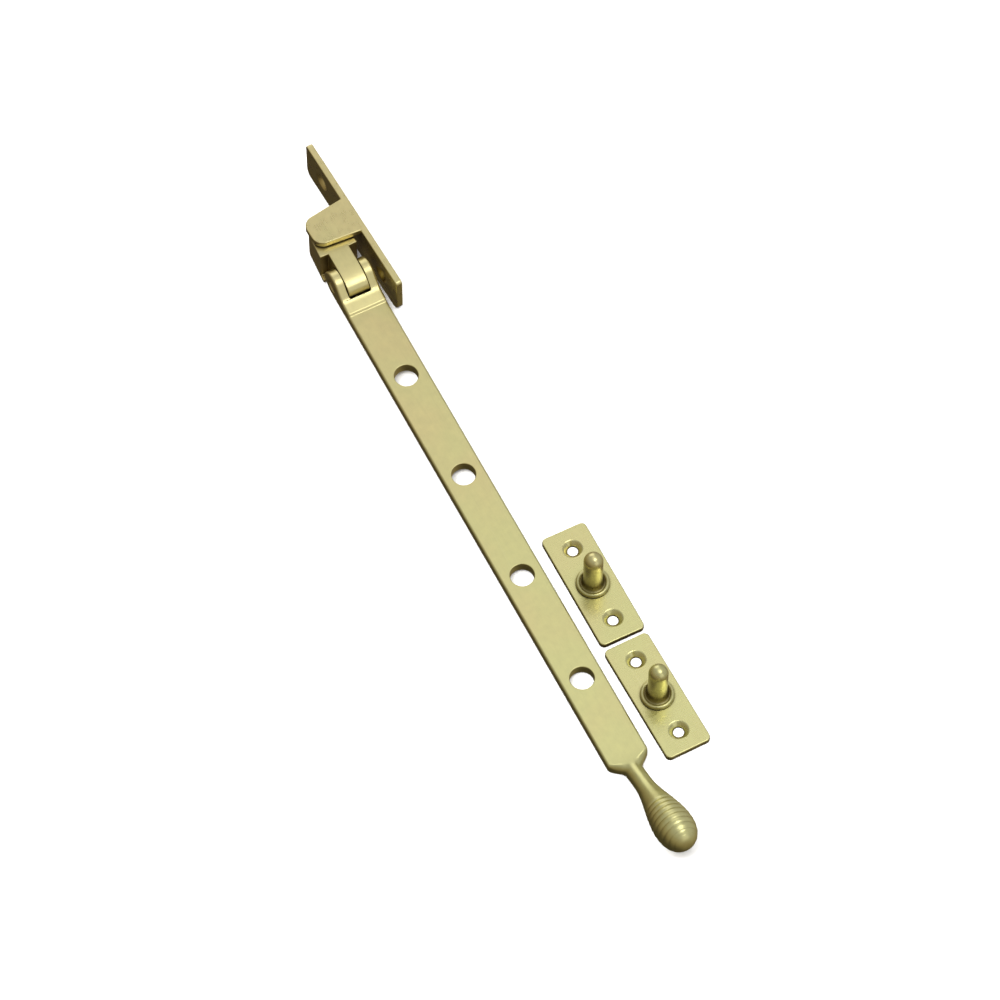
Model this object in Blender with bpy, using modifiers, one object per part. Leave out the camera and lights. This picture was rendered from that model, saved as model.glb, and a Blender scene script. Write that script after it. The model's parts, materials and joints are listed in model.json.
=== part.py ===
"""Casement window stay: a swivelling, lifting peg stay with its two loose stay pegs.

Metres, +Z up. The origin is the centre of the bracket's back face, the face that is
screwed to the sash. +Y points out of that face and +X runs along the bracket's plate,
towards the knob of the arm. The stay lies on a flat surface at SURFACE_Z: the lower
edge of the bracket, the tip of the arm's blade and both peg plates rest on it.
"""

from math import asin, atan2, cos, pi, radians, sin, tan

import bmesh
import bpy
from mathutils import Vector

# ---------------------------------------------------------------- driving dimensions

GAP = 0.0003                    # clearance between pieces that touch

# mounting bracket: a plate on edge, with a lug that stands out of its upper edge
PLATE_LENGTH = 0.0648
PLATE_HEIGHT = 0.0172
PLATE_THICKNESS = 0.0024
PLATE_UPPER_CORNER = 0.0012
PLATE_LOWER_CORNER = 0.0030
PLATE_SCREW_SPACING = 0.0430
LUG_THICKNESS = 0.0024
LUG_REACH = 0.0160              # from the plate's inner face to the lug's tip
LUG_ROOT_HALF_WIDTH = 0.0074
LUG_TIP_HALF_WIDTH = 0.0060
LUG_TIP_CORNER = 0.0042
SCREW_RADIUS = 0.0019
COUNTERSINK_RADIUS = 0.0036
COUNTERSINK_DEPTH = 0.0016

# swivel joint: rivet through the lug, washer and knuckle
SURFACE_Z = -PLATE_HEIGHT / 2
SWIVEL_FROM_BACK = 0.0116       # swivel axis to the bracket's back face
RIVET_RADIUS = 0.0023
RIVET_SOCKET_DEPTH = 0.0014
RIVET_HEAD_RADIUS = 0.0040
RIVET_HEAD_THICKNESS = 0.0012
WASHER_RADIUS = 0.0056
WASHER_THICKNESS = 0.0004
REST_YAW = radians(2.25)        # the arm lies turned this far away from the plate

# knuckle: heights are above the surface, lengths are from the swivel axis
KNUCKLE_BOTTOM = 0.0012
KNUCKLE_BACK_RADIUS = 0.0065
KNUCKLE_FRONT_HALF_WIDTH = 0.0072
KNUCKLE_SHOULDER = 0.0087
KNUCKLE_LIP = 0.0110
KNUCKLE_LIP_TOP = 0.0027
LIP_SLOPE = 0.0015              # length of the slope from the lip up to the tongue
TONGUE_WIDTH = 0.0075
NOSE_FORWARD = 0.0016           # the nose is centred this far in front of the cross pin

# cross pin, on which the arm lifts
PIN_FROM_SWIVEL = 0.0179
PIN_HEIGHT = 0.0089             # above the surface
PIN_RADIUS = 0.0020

# arm: lengths are from the cross pin, heights from its axis
ARM_WIDTH = 0.0147
BARREL_RADIUS = 0.0054
BARREL_BLEND_ANGLE = radians(50)
BLOCK_SLOPE_START = (0.0092, 0.0001)
BLOCK_SLOPE_END = (0.0124, -0.0005)
BLOCK_HOLLOW = 0.0026           # how far the hollow behind the block reaches each way
BLADE_START = 0.0138
BLADE_THICKNESS = 0.0042
BLADE_END = 0.2008
BLADE_EDGE = 0.0008
FORK_SLOT_WIDTH = TONGUE_WIDTH + 2 * GAP
FORK_SLOT_DEPTH = 0.0078
FORK_SLOT_CORNER = 0.0010
HOLE_RADIUS = 0.00410
FIRST_HOLE = 0.0421
HOLE_PITCH = 0.04275
HOLE_COUNT = 4
REST_CLEARANCE = 0.00015        # the shoulder behind the blade's end touches first
REST_TILT = asin((PIN_HEIGHT - BARREL_RADIUS - REST_CLEARANCE) / BLADE_END)

# handle: stations are lengths along its centre line, from the end of the blade
SHOULDER_START = 0.0014         # where the blade begins to narrow
SHOULDER_END = 0.0064           # where it is as narrow as the neck
RIDGE_START = 0.0010            # where its upper edges begin to round off
RIDGE_END = 0.0052
RIDGE_DEPTH = 1.35              # the rounded upper edges' height in half thicknesses
NECK_STATION = 0.0120
NECK_RADIUS = 0.00315
NECK_GROWTH_START = 0.0030      # where the neck begins to be thicker than the blade
KNOB_STATION = 0.0342
KNOB_RADIUS = 0.0068
KNOB_END_LENGTH = 0.0096
KNOB_END_FULLNESS = 2.3         # exponent of the curve of the knob's end
HANDLE_RISE = radians(17.5)
HANDLE_BEND_LENGTH = 0.0120

# stay pegs: a plate with an upright pin in its middle
PEG_PLATE_LENGTH = 0.0447
PEG_PLATE_WIDTH = 0.0164
PEG_PLATE_THICKNESS = 0.0023
PEG_PLATE_CORNER = 0.0018
PEG_SCREW_SPACING = 0.0292
PEG_SCREW_RADIUS = 0.0018
PEG_COUNTERSINK_RADIUS = 0.0034
PEG_COUNTERSINK_DEPTH = 0.0015
PEG_SPIGOT_RADIUS = 0.0022
PEG_COLLAR_RADIUS = 0.00575
PEG_COLLAR_HEIGHT = 0.0015
PEG_FLARE_RADIUS = 0.0038
PEG_FLARE_HEIGHT = 0.0012
PEG_SHAFT_RADIUS = 0.0033
PEG_TOP_HEIGHT = 0.0208         # above the surface
PEG_PLACES = {                  # centre x and y, and turn about the vertical
    1: (0.1581, 0.00245, radians(-2.7)),
    2: (0.2045, 0.00015, radians(-1.7)),
}

ROUND_STEPS = 32                # facets of a full turn
BARREL_BACK_ANGLE = radians(170)    # the barrel's curve is skinned from here to its top
BLEND_SECTIONS = 6              # sections of the arm, one stretch after another
SHOULDER_SECTIONS = 8
NECK_SECTIONS = 9
KNOB_SECTIONS = 8
KNOB_FIRST_ANGLE = radians(4)   # around the curve of the knob's end
KNOB_LAST_ANGLE = radians(84)
SHARP_ANGLE = radians(32)       # edges above this angle are shaded sharp
FULLY_ROUND = 0.999             # largest share of a section that its corners take up

BRASS = (0.64, 0.56, 0.27, 1.0)
BRASS_PALE = (0.72, 0.66, 0.36, 1.0)
BRASS_DARK = (0.50, 0.43, 0.20, 1.0)


# ---------------------------------------------------------------- scene and materials

def clear_scene():
    """Remove every object of the start-up scene."""
    for obj in list(bpy.data.objects):
        bpy.data.objects.remove(obj, do_unlink=True)


def new_collection(name):
    """Make a collection and link it to the scene."""
    collection = bpy.data.collections.new(name)
    bpy.context.scene.collection.children.link(collection)
    return collection


def metal(name, colour, roughness):
    """A satin metal."""
    material = bpy.data.materials.new(name)
    material.use_nodes = True
    shader = material.node_tree.nodes["Principled BSDF"]
    shader.inputs["Base Color"].default_value = colour
    shader.inputs["Metallic"].default_value = 1.0
    shader.inputs["Roughness"].default_value = roughness
    return material


def add_axis(name, location, yaw=0.0, tilt=0.0, parent=None):
    """An empty on a joint axis, that a moving piece hangs on."""
    empty = bpy.data.objects.new(name, None)
    empty.empty_display_size = 0.01
    empty.location = location
    empty.rotation_euler = (0.0, tilt, yaw)
    empty.parent = parent
    PARTS.objects.link(empty)
    return empty


def as_part(obj, name, material, parent=None):
    """Name a finished piece, give it its material and put it in the parts collection."""
    obj.parent = parent
    apply_modifiers(obj)
    obj.name = name
    obj.data.name = name
    obj.data.materials.append(material)
    move_to(obj, PARTS)
    obj.data.shade_smooth()
    obj.data.set_sharp_from_angle(angle=SHARP_ANGLE)
    return obj


def apply_modifiers(obj):
    """Replace a piece's mesh by its finished shape, so that its shading follows that."""
    bpy.context.view_layer.update()
    evaluated = obj.evaluated_get(bpy.context.evaluated_depsgraph_get())
    finished = bpy.data.meshes.new_from_object(evaluated)
    obj.modifiers.clear()
    obj.data = finished


def move_to(obj, collection):
    """Link an object to one collection only."""
    for other in list(obj.users_collection):
        other.objects.unlink(obj)
    collection.objects.link(obj)


def as_cutter(obj, parent=None):
    """Hide a tool shape from the model and keep it among the cutters."""
    obj.name = "cutter"
    obj.hide_render = True
    obj.display_type = "WIRE"
    obj.parent = parent
    move_to(obj, CUTTERS)
    return obj


def cut(obj, cutter, operation="DIFFERENCE"):
    """Add an exact Boolean to a piece."""
    modifier = obj.modifiers.new(operation.lower(), "BOOLEAN")
    modifier.operation = operation
    modifier.solver = "EXACT"
    modifier.object = cutter


# ---------------------------------------------------------------- outlines and shapes

def arc(centre, radius, start, end, steps):
    """Points on an arc, from one angle to another."""
    angles = [start + (end - start) * k / steps for k in range(steps + 1)]
    return [(centre[0] + radius * cos(a), centre[1] + radius * sin(a)) for a in angles]


def rounded_rectangle(length, width, corner, steps=4):
    """A rectangle with round corners, about the origin, anticlockwise."""
    x, y = length / 2 - corner, width / 2 - corner
    centres = [(x, y), (-x, y), (-x, -y), (x, -y)]
    points = []
    for quarter, centre in enumerate(centres):
        start = quarter * pi / 2
        points += arc(centre, corner, start, start + pi / 2, steps)
    return points


def slab(points, low, high, plane="XY"):
    """Extrude a flat outline between two offsets along the plane's normal.

    In plane XY the offsets run along Z. In plane XZ the outline's second
    coordinate is Z and the offsets run along Y.
    """
    curve = bpy.data.curves.new("outline", "CURVE")
    curve.dimensions = "2D"
    curve.fill_mode = "BOTH"
    curve.extrude = (high - low) / 2
    spline = curve.splines.new("POLY")
    spline.points.add(len(points) - 1)
    for point, (u, v) in zip(spline.points, points):
        point.co = (u, v, 0.0, 1.0)
    spline.use_cyclic_u = True
    middle = (low + high) / 2
    guide = bpy.data.objects.new("outline", curve)
    if plane == "XZ":
        guide.rotation_euler = (pi / 2, 0.0, 0.0)
        guide.location = (0.0, middle, 0.0)
    else:
        guide.location = (0.0, 0.0, middle)
    bpy.context.scene.collection.objects.link(guide)
    return mesh_from_curve(guide)


def mesh_from_curve(guide):
    """Turn a curve object into a mesh object whose caps are welded on."""
    bpy.context.view_layer.update()
    evaluated = guide.evaluated_get(bpy.context.evaluated_depsgraph_get())
    mesh = bpy.data.meshes.new_from_object(evaluated)
    mesh.transform(guide.matrix_world)
    work = bmesh.new()
    work.from_mesh(mesh)
    bmesh.ops.remove_doubles(work, verts=work.verts, dist=0.000001)
    bmesh.ops.recalc_face_normals(work, faces=work.faces)
    work.to_mesh(mesh)
    work.free()
    curve = guide.data
    bpy.data.objects.remove(guide)
    bpy.data.curves.remove(curve)
    obj = bpy.data.objects.new("slab", mesh)
    bpy.context.scene.collection.objects.link(obj)
    return obj


def turned(profile, centre=(0.0, 0.0, 0.0)):
    """Turn a profile of (radius, height) points, top to bottom, about the vertical."""
    mesh = bpy.data.meshes.new("turned")
    work = bmesh.new()
    verts = [work.verts.new((radius, 0.0, height)) for radius, height in profile]
    for first, second in zip(verts, verts[1:]):
        work.edges.new((first, second))
    work.to_mesh(mesh)
    work.free()
    obj = bpy.data.objects.new("turned", mesh)
    obj.location = centre
    bpy.context.scene.collection.objects.link(obj)
    screw = obj.modifiers.new("turn", "SCREW")
    screw.steps = ROUND_STEPS
    screw.render_steps = ROUND_STEPS
    screw.use_merge_vertices = True
    screw.merge_threshold = 0.000001
    return obj


def drill(radius, low, high, centre=(0.0, 0.0), sink_radius=None, sink_depth=0.0):
    """A vertical round cutter, widened to a countersink at its upper end."""
    profile = [(0.0, high)]
    if sink_radius:
        profile.append((sink_radius, high))
        profile.append((sink_radius, high - GAP))
        profile.append((radius, high - GAP - sink_depth))
    else:
        profile.append((radius, high))
    profile.append((radius, low))
    profile.append((0.0, low))
    return turned(profile, centre=(centre[0], centre[1], 0.0))


# ---------------------------------------------------------------- mounting bracket

def plate_outline():
    """The bracket's plate, seen along Y: larger round corners at its lower edge."""
    x, z = PLATE_LENGTH / 2, PLATE_HEIGHT / 2
    upper, lower = PLATE_UPPER_CORNER, PLATE_LOWER_CORNER
    points = arc((x - upper, z - upper), upper, 0.0, pi / 2, 4)
    points += arc((upper - x, z - upper), upper, pi / 2, pi, 4)
    points += arc((lower - x, lower - z), lower, pi, 1.5 * pi, 6)
    points += arc((x - lower, lower - z), lower, 1.5 * pi, 2 * pi, 6)
    return points


def lug_outline():
    """The lug, seen from above: it tapers to a tip with two round corners."""
    root_y = -PLATE_THICKNESS / 2
    tip_y = -PLATE_THICKNESS - LUG_REACH
    taper = atan2(LUG_ROOT_HALF_WIDTH - LUG_TIP_HALF_WIDTH, LUG_REACH)
    corner_x = LUG_TIP_HALF_WIDTH - LUG_TIP_CORNER
    corner_y = tip_y + LUG_TIP_CORNER
    right = arc((corner_x, corner_y), LUG_TIP_CORNER, -pi / 2, -taper, 8)
    left = [(-x, y) for x, y in reversed(right)]
    root = LUG_ROOT_HALF_WIDTH
    return left + right + [(root, root_y), (-root, root_y)]


def make_bracket():
    """Plate and lug in one piece, with two countersunk holes and the rivet's socket."""
    bracket = slab(plate_outline(), -PLATE_THICKNESS, 0.0, plane="XZ")
    top = PLATE_HEIGHT / 2
    lug = as_cutter(slab(lug_outline(), top - LUG_THICKNESS, top))
    cut(bracket, lug, "UNION")
    socket_low = top - LUG_THICKNESS - GAP
    socket_high = top - LUG_THICKNESS + RIVET_SOCKET_DEPTH + GAP
    socket = drill(RIVET_RADIUS + GAP, socket_low, socket_high, (0.0, -SWIVEL_FROM_BACK))
    cut(bracket, as_cutter(socket))
    for side in (-1, 1):
        hole = drill(SCREW_RADIUS, -GAP, PLATE_THICKNESS + GAP,
                     sink_radius=COUNTERSINK_RADIUS, sink_depth=COUNTERSINK_DEPTH)
        hole.rotation_euler = (pi / 2, 0.0, 0.0)
        hole.location = (side * PLATE_SCREW_SPACING / 2, 0.0, 0.0)
        cut(bracket, as_cutter(hole))
    return as_part(bracket, "mounting_bracket", metal("bracket_brass", BRASS, 0.35))


# ---------------------------------------------------------------- swivel joint

def make_rivet():
    """The swivel rivet: a shank in the lug's socket, its head sunk in the knuckle."""
    lug_bottom = PLATE_HEIGHT - LUG_THICKNESS
    top = lug_bottom + RIVET_SOCKET_DEPTH
    head_low = KNUCKLE_BOTTOM + GAP / 3
    head_high = head_low + RIVET_HEAD_THICKNESS
    profile = [(0.0, top), (RIVET_RADIUS, top), (RIVET_RADIUS, head_high),
               (RIVET_HEAD_RADIUS, head_high), (RIVET_HEAD_RADIUS, head_low), (0.0, head_low)]
    rivet = turned(profile, centre=(0.0, -SWIVEL_FROM_BACK, SURFACE_Z))
    return as_part(rivet, "swivel_rivet", metal("rivet_brass", BRASS_DARK, 0.4))


def make_washer(swivel_axis):
    """The thin washer between the lug and the knuckle."""
    low = PLATE_HEIGHT - LUG_THICKNESS - GAP - WASHER_THICKNESS
    washer = turned([(0.0, low + WASHER_THICKNESS), (WASHER_RADIUS, low + WASHER_THICKNESS),
                     (WASHER_RADIUS, low), (0.0, low)])
    bore = drill(RIVET_RADIUS + GAP, low - GAP, low + WASHER_THICKNESS + GAP)
    cut(washer, as_cutter(bore, swivel_axis))
    return as_part(washer, "swivel_washer", metal("washer_brass", BRASS_DARK, 0.4), swivel_axis)


def knuckle_top():
    """Height of the knuckle's flat top, just under the washer."""
    return PLATE_HEIGHT - LUG_THICKNESS - WASHER_THICKNESS - 2 * GAP


def knuckle_plan():
    """The knuckle seen from above: round behind the swivel axis, wider in front of it."""
    half = KNUCKLE_FRONT_HALF_WIDTH
    reach = PIN_FROM_SWIVEL + 2 * BARREL_RADIUS
    front = [(KNUCKLE_LIP, -half), (reach, -half), (reach, half), (KNUCKLE_LIP, half)]
    return arc((0.0, 0.0), KNUCKLE_BACK_RADIUS, pi / 2, 1.5 * pi, 20) + front


def knuckle_side():
    """The knuckle seen from the side: flat top, round nose and lower lip."""
    nose = knuckle_top() - PIN_HEIGHT
    back = -2 * KNUCKLE_BACK_RADIUS
    points = arc((PIN_FROM_SWIVEL + NOSE_FORWARD, PIN_HEIGHT), nose, pi / 2, -pi / 2, 16)
    points += [(KNUCKLE_LIP + LIP_SLOPE, PIN_HEIGHT - nose)]
    points += [(KNUCKLE_LIP, KNUCKLE_LIP_TOP), (KNUCKLE_LIP, KNUCKLE_BOTTOM)]
    points += [(back, KNUCKLE_BOTTOM), (back, knuckle_top())]
    return points


def make_knuckle(swivel_axis):
    """The swivel knuckle, with the tongue that the arm's fork straddles."""
    above, width = 2 * PLATE_HEIGHT, 2 * ARM_WIDTH
    knuckle = slab(knuckle_plan(), 0.0, PLATE_HEIGHT)
    side = slab(knuckle_side(), -width, width, plane="XZ")
    cut(knuckle, as_cutter(side, swivel_axis), "INTERSECT")
    reach = PIN_FROM_SWIVEL + 3 * BARREL_RADIUS
    shoulder = [(KNUCKLE_SHOULDER, KNUCKLE_LIP_TOP), (reach, KNUCKLE_LIP_TOP),
                (reach, above), (KNUCKLE_SHOULDER, above)]
    for low, high in ((-width, -TONGUE_WIDTH / 2), (TONGUE_WIDTH / 2, width)):
        cheek_room = slab(shoulder, low, high, plane="XZ")
        cut(knuckle, as_cutter(cheek_room, swivel_axis))
    bore = turned([(0.0, above), (RIVET_RADIUS + GAP, above),
                   (RIVET_RADIUS + GAP, KNUCKLE_BOTTOM + RIVET_HEAD_THICKNESS + 2 * GAP),
                   (RIVET_HEAD_RADIUS + GAP, KNUCKLE_BOTTOM + RIVET_HEAD_THICKNESS + 2 * GAP),
                   (RIVET_HEAD_RADIUS + GAP, 0.0), (0.0, 0.0)])
    cut(knuckle, as_cutter(bore, swivel_axis))
    pin_hole = drill(PIN_RADIUS + GAP, -width, width)
    pin_hole.rotation_euler = (pi / 2, 0.0, 0.0)
    pin_hole.location = (PIN_FROM_SWIVEL, 0.0, PIN_HEIGHT)
    cut(knuckle, as_cutter(pin_hole, swivel_axis))
    return as_part(knuckle, "swivel_knuckle", metal("knuckle_brass", BRASS, 0.3), swivel_axis)


# ---------------------------------------------------------------- arm

def cubic(points, t):
    """A point on a cubic Bezier."""
    weights = [(1 - t) ** 3, 3 * t * (1 - t) ** 2, 3 * t * t * (1 - t), t ** 3]
    return tuple(sum(w * p[k] for w, p in zip(weights, points)) for k in range(2))


def fork_stations():
    """(x, lower z, upper z) of the barrel and of the block that slopes to the blade."""
    radius = BARREL_RADIUS
    back = arc((0, 0), radius, BARREL_BACK_ANGLE, pi / 2, BLEND_SECTIONS)
    stations = [(x, -z, z) for x, z in back]
    front = arc((0, 0), radius, pi / 2, BARREL_BLEND_ANGLE, 3)
    (start_x, start_z), (near_x, near_z) = front[-1], BLOCK_SLOPE_START
    steep = -1 / tan(BARREL_BLEND_ANGLE)
    fall = (BLOCK_SLOPE_END[1] - near_z) / (BLOCK_SLOPE_END[0] - near_x)
    hollow = [front[-1], (start_x + BLOCK_HOLLOW, start_z + steep * BLOCK_HOLLOW),
              (near_x - BLOCK_HOLLOW, near_z - fall * BLOCK_HOLLOW), BLOCK_SLOPE_START]
    blend = [cubic(hollow, (k + 1) / BLEND_SECTIONS) for k in range(BLEND_SECTIONS)]
    top = front[1:] + blend + [BLOCK_SLOPE_END]
    return stations + [(x, -radius, z) for x, z in top]


def smooth_step(t):
    """0 to 1 with level ends."""
    t = min(max(t, 0.0), 1.0)
    return t * t * (3 - 2 * t)


def handle_centre(station):
    """(x, z, slope) of the handle's centre line, which bends up and then runs straight."""
    bend = min(station, HANDLE_BEND_LENGTH)
    radius = HANDLE_BEND_LENGTH / HANDLE_RISE
    angle = bend / radius
    x = BLADE_END + radius * sin(angle)
    z = BLADE_THICKNESS / 2 - BARREL_RADIUS + radius * (1 - cos(angle))
    straight = station - bend
    return x + straight * cos(angle), z + straight * sin(angle), angle


def handle_size(station):
    """(half width, half height) of the handle at a station."""
    if station < NECK_STATION:
        narrow = smooth_step((station - SHOULDER_START) / (SHOULDER_END - SHOULDER_START))
        half_width = ARM_WIDTH / 2 + (NECK_RADIUS - ARM_WIDTH / 2) * narrow
        grow = smooth_step((station - NECK_GROWTH_START) / (NECK_STATION - NECK_GROWTH_START))
        half_height = BLADE_THICKNESS / 2 + (NECK_RADIUS - BLADE_THICKNESS / 2) * grow
        return half_width, half_height
    if station < KNOB_STATION:
        t = (station - NECK_STATION) / (KNOB_STATION - NECK_STATION)
        radius = NECK_RADIUS + (KNOB_RADIUS - NECK_RADIUS) * smooth_step(t)
        return radius, radius
    t = min((station - KNOB_STATION) / KNOB_END_LENGTH, 1.0)
    radius = KNOB_RADIUS * (1 - t ** KNOB_END_FULLNESS) ** (1 / KNOB_END_FULLNESS)
    return radius, radius


def spread(first, last, parts):
    """Evenly spaced values from the first to the last, in so many parts."""
    return [first + (last - first) * k / parts for k in range(parts + 1)]


def arm_sections():
    """(x, z, slope, half width, half height, station) of every section, barrel to knob."""
    half = ARM_WIDTH / 2
    sections = []
    for x, low, high in fork_stations():
        sections.append((x, (low + high) / 2, 0.0, half, (high - low) / 2, 0.0))
    middle = BLADE_THICKNESS / 2 - BARREL_RADIUS
    sections.append((BLADE_START, middle, 0.0, half, BLADE_THICKNESS / 2, 0.0))
    shoulder = [0.0] + spread(RIDGE_START, SHOULDER_END, SHOULDER_SECTIONS)
    neck_start = (SHOULDER_END + NECK_STATION) / 2
    neck = spread(neck_start, KNOB_STATION, NECK_SECTIONS)[:-1]
    knob_angles = spread(KNOB_FIRST_ANGLE, KNOB_LAST_ANGLE, KNOB_SECTIONS)
    knob = [KNOB_STATION + KNOB_END_LENGTH * sin(angle) for angle in knob_angles]
    for station in shoulder + neck + knob:
        x, z, slope = handle_centre(station)
        half_width, half_height = handle_size(station)
        sections.append((x, z, slope, half_width, half_height, station))
    return sections


def section_corners(half_width, half_height, station):
    """(across, up) of a section's upper corners, and of its lower ones.

    The blade's small round edges grow to half circles at the neck, the upper ones first.
    """
    edge = min(BLADE_EDGE, min(half_width, half_height) / 2)
    upper = smooth_step((station - RIDGE_START) / (RIDGE_END - RIDGE_START))
    lower = smooth_step((station - NECK_GROWTH_START) / (NECK_STATION - NECK_GROWTH_START))
    depth = 1 + (RIDGE_DEPTH - 1) * (1 - lower)
    full_width, full_height = half_width * FULLY_ROUND, half_height * FULLY_ROUND
    top = (edge + (full_width - edge) * upper, edge + (full_height * depth - edge) * upper)
    foot = (edge + (full_width - edge) * lower, edge + (full_height - edge) * lower)
    return top, foot


def section_points(x, z, slope, half_width, half_height, station):
    """One cross-section: a rectangle with round corners, which ends up round."""
    top, foot = section_corners(half_width, half_height, station)
    across = Vector((0.0, 1.0, 0.0))
    up = Vector((-sin(slope), 0.0, cos(slope)))
    centre = Vector((x, 0.0, z))
    points = []
    for quarter, (side, level, corner) in enumerate(((1, 1, top), (-1, 1, top),
                                                     (-1, -1, foot), (1, -1, foot))):
        middle_y = side * (half_width - corner[0])
        middle_z = level * (half_height - corner[1])
        for u, v in arc((0.0, 0.0), 1.0, quarter * pi / 2, (quarter + 1) * pi / 2, 5):
            y, w = middle_y + corner[0] * u, middle_z + corner[1] * v
            points.append(centre + across * y + up * w)
    return points


def loft(sections):
    """Skin a row of cross-sections that all have the same number of points."""
    mesh = bpy.data.meshes.new("loft")
    work = bmesh.new()
    rings = [[work.verts.new(point) for point in section] for section in sections]
    for ring, following in zip(rings, rings[1:]):
        for k in range(len(ring)):
            n = (k + 1) % len(ring)
            work.faces.new((ring[k], ring[n], following[n], following[k]))
    work.faces.new(list(reversed(rings[0])))
    work.faces.new(rings[-1])
    bmesh.ops.recalc_face_normals(work, faces=work.faces)
    bmesh.ops.triangulate(work, faces=work.faces)
    work.to_mesh(mesh)
    work.free()
    obj = bpy.data.objects.new("loft", mesh)
    bpy.context.scene.collection.objects.link(obj)
    return obj


def make_arm(lift_axis):
    """The arm in one piece: fork, perforated blade, neck and knob."""
    arm = loft([section_points(*section) for section in arm_sections()])
    depth = 3 * BARREL_RADIUS
    corner, half_slot = FORK_SLOT_CORNER, FORK_SLOT_WIDTH / 2
    bottom = FORK_SLOT_DEPTH - corner
    slot = arc((bottom, corner - half_slot), corner, -pi / 2, 0.0, 4)
    slot += arc((bottom, half_slot - corner), corner, 0.0, pi / 2, 4)
    slot += [(-depth, half_slot), (-depth, -half_slot)]
    cut(arm, as_cutter(slab(slot, -depth, depth), lift_axis))
    pin_hole = drill(PIN_RADIUS + GAP, -ARM_WIDTH, ARM_WIDTH)
    pin_hole.rotation_euler = (pi / 2, 0.0, 0.0)
    cut(arm, as_cutter(pin_hole, lift_axis))
    for number in range(HOLE_COUNT):
        hole = drill(HOLE_RADIUS, -depth, depth, (FIRST_HOLE + number * HOLE_PITCH, 0.0))
        cut(arm, as_cutter(hole, lift_axis))
    return as_part(arm, "stay_arm", metal("arm_brass", BRASS_PALE, 0.3), lift_axis)


def make_pin(lift_axis):
    """The cross pin, riveted flush in the fork's cheeks."""
    half = ARM_WIDTH / 2 - GAP
    pin = turned([(0.0, half), (PIN_RADIUS, half), (PIN_RADIUS, -half), (0.0, -half)])
    pin.rotation_euler = (pi / 2, 0.0, 0.0)
    return as_part(pin, "hinge_pin", metal("pin_brass", BRASS_DARK, 0.35), lift_axis)


# ---------------------------------------------------------------- stay pegs

def make_peg_plate(number, peg_base):
    """A peg's plate: two countersunk screw holes and a hole for the pin's spigot."""
    outline = rounded_rectangle(PEG_PLATE_LENGTH, PEG_PLATE_WIDTH, PEG_PLATE_CORNER)
    plate = slab(outline, 0.0, PEG_PLATE_THICKNESS)
    for side in (-1, 1):
        hole = drill(PEG_SCREW_RADIUS, -GAP, PEG_PLATE_THICKNESS + GAP,
                     (side * PEG_SCREW_SPACING / 2, 0.0),
                     PEG_COUNTERSINK_RADIUS, PEG_COUNTERSINK_DEPTH)
        cut(plate, as_cutter(hole, peg_base))
    spigot_hole = drill(PEG_SPIGOT_RADIUS + GAP, -GAP, PEG_PLATE_THICKNESS + GAP)
    cut(plate, as_cutter(spigot_hole, peg_base))
    brass = metal(f"peg_plate_brass_{number}", BRASS_PALE, 0.3)
    return as_part(plate, f"peg_plate_{number}", brass, peg_base)


def peg_pin_profile():
    """The pin's outline, top to bottom: dome, shaft, flare, collar and spigot."""
    collar_low = PEG_PLATE_THICKNESS + GAP
    collar_high = PEG_PLATE_THICKNESS + PEG_COLLAR_HEIGHT
    rim = PEG_COLLAR_HEIGHT / 3
    shaft, flare = PEG_SHAFT_RADIUS, PEG_FLARE_RADIUS
    profile = arc((0.0, PEG_TOP_HEIGHT - shaft), shaft, pi / 2, 0.0, 6)
    profile[0] = (0.0, PEG_TOP_HEIGHT)
    profile += [(shaft, collar_high + PEG_FLARE_HEIGHT), (flare, collar_high)]
    profile += arc((PEG_COLLAR_RADIUS - rim, collar_high - rim), rim, pi / 2, 0.0, 3)
    profile += [(PEG_COLLAR_RADIUS, collar_low), (PEG_SPIGOT_RADIUS, collar_low)]
    profile += [(PEG_SPIGOT_RADIUS, GAP), (0.0, GAP)]
    return profile


def make_peg(number, x, y, turn):
    """One loose stay peg: its plate and its pin."""
    peg_base = add_axis(f"peg_{number}_base", (x, y, SURFACE_Z), yaw=turn)
    make_peg_plate(number, peg_base)
    pin = turned(peg_pin_profile())
    as_part(pin, f"peg_pin_{number}", metal(f"peg_pin_brass_{number}", BRASS, 0.3), peg_base)


# ---------------------------------------------------------------- assembly

def make_stay():
    """Everything, hung on its joint axes."""
    swivel_axis = add_axis("swivel_axis", (0.0, -SWIVEL_FROM_BACK, SURFACE_Z), yaw=-REST_YAW)
    lift_axis = add_axis("lift_axis", (PIN_FROM_SWIVEL, 0.0, PIN_HEIGHT), tilt=REST_TILT,
                         parent=swivel_axis)
    make_bracket()
    make_rivet()
    make_washer(swivel_axis)
    make_knuckle(swivel_axis)
    make_arm(lift_axis)
    make_pin(lift_axis)
    for number, place in PEG_PLACES.items():
        make_peg(number, *place)
    bpy.context.view_layer.update()


clear_scene()
PARTS = new_collection("casement_stay")
CUTTERS = new_collection("cutters")
make_stay()
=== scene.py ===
"""Looks of the casement window stay: fine meshes, satin brass and soft studio light.

Metres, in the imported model's frame. +X runs along the bracket's plate towards the knob,
+Y out of the bracket's back face, +Z up, and the stay lies on a flat surface. Each piece
is built in its own coordinates, then placed on the joint or the box of its CAD node.
"""

import json
from math import asin, atan2, cos, pi, radians, sin, tan

import bmesh
import bpy
from mathutils import Matrix, Vector

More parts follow.
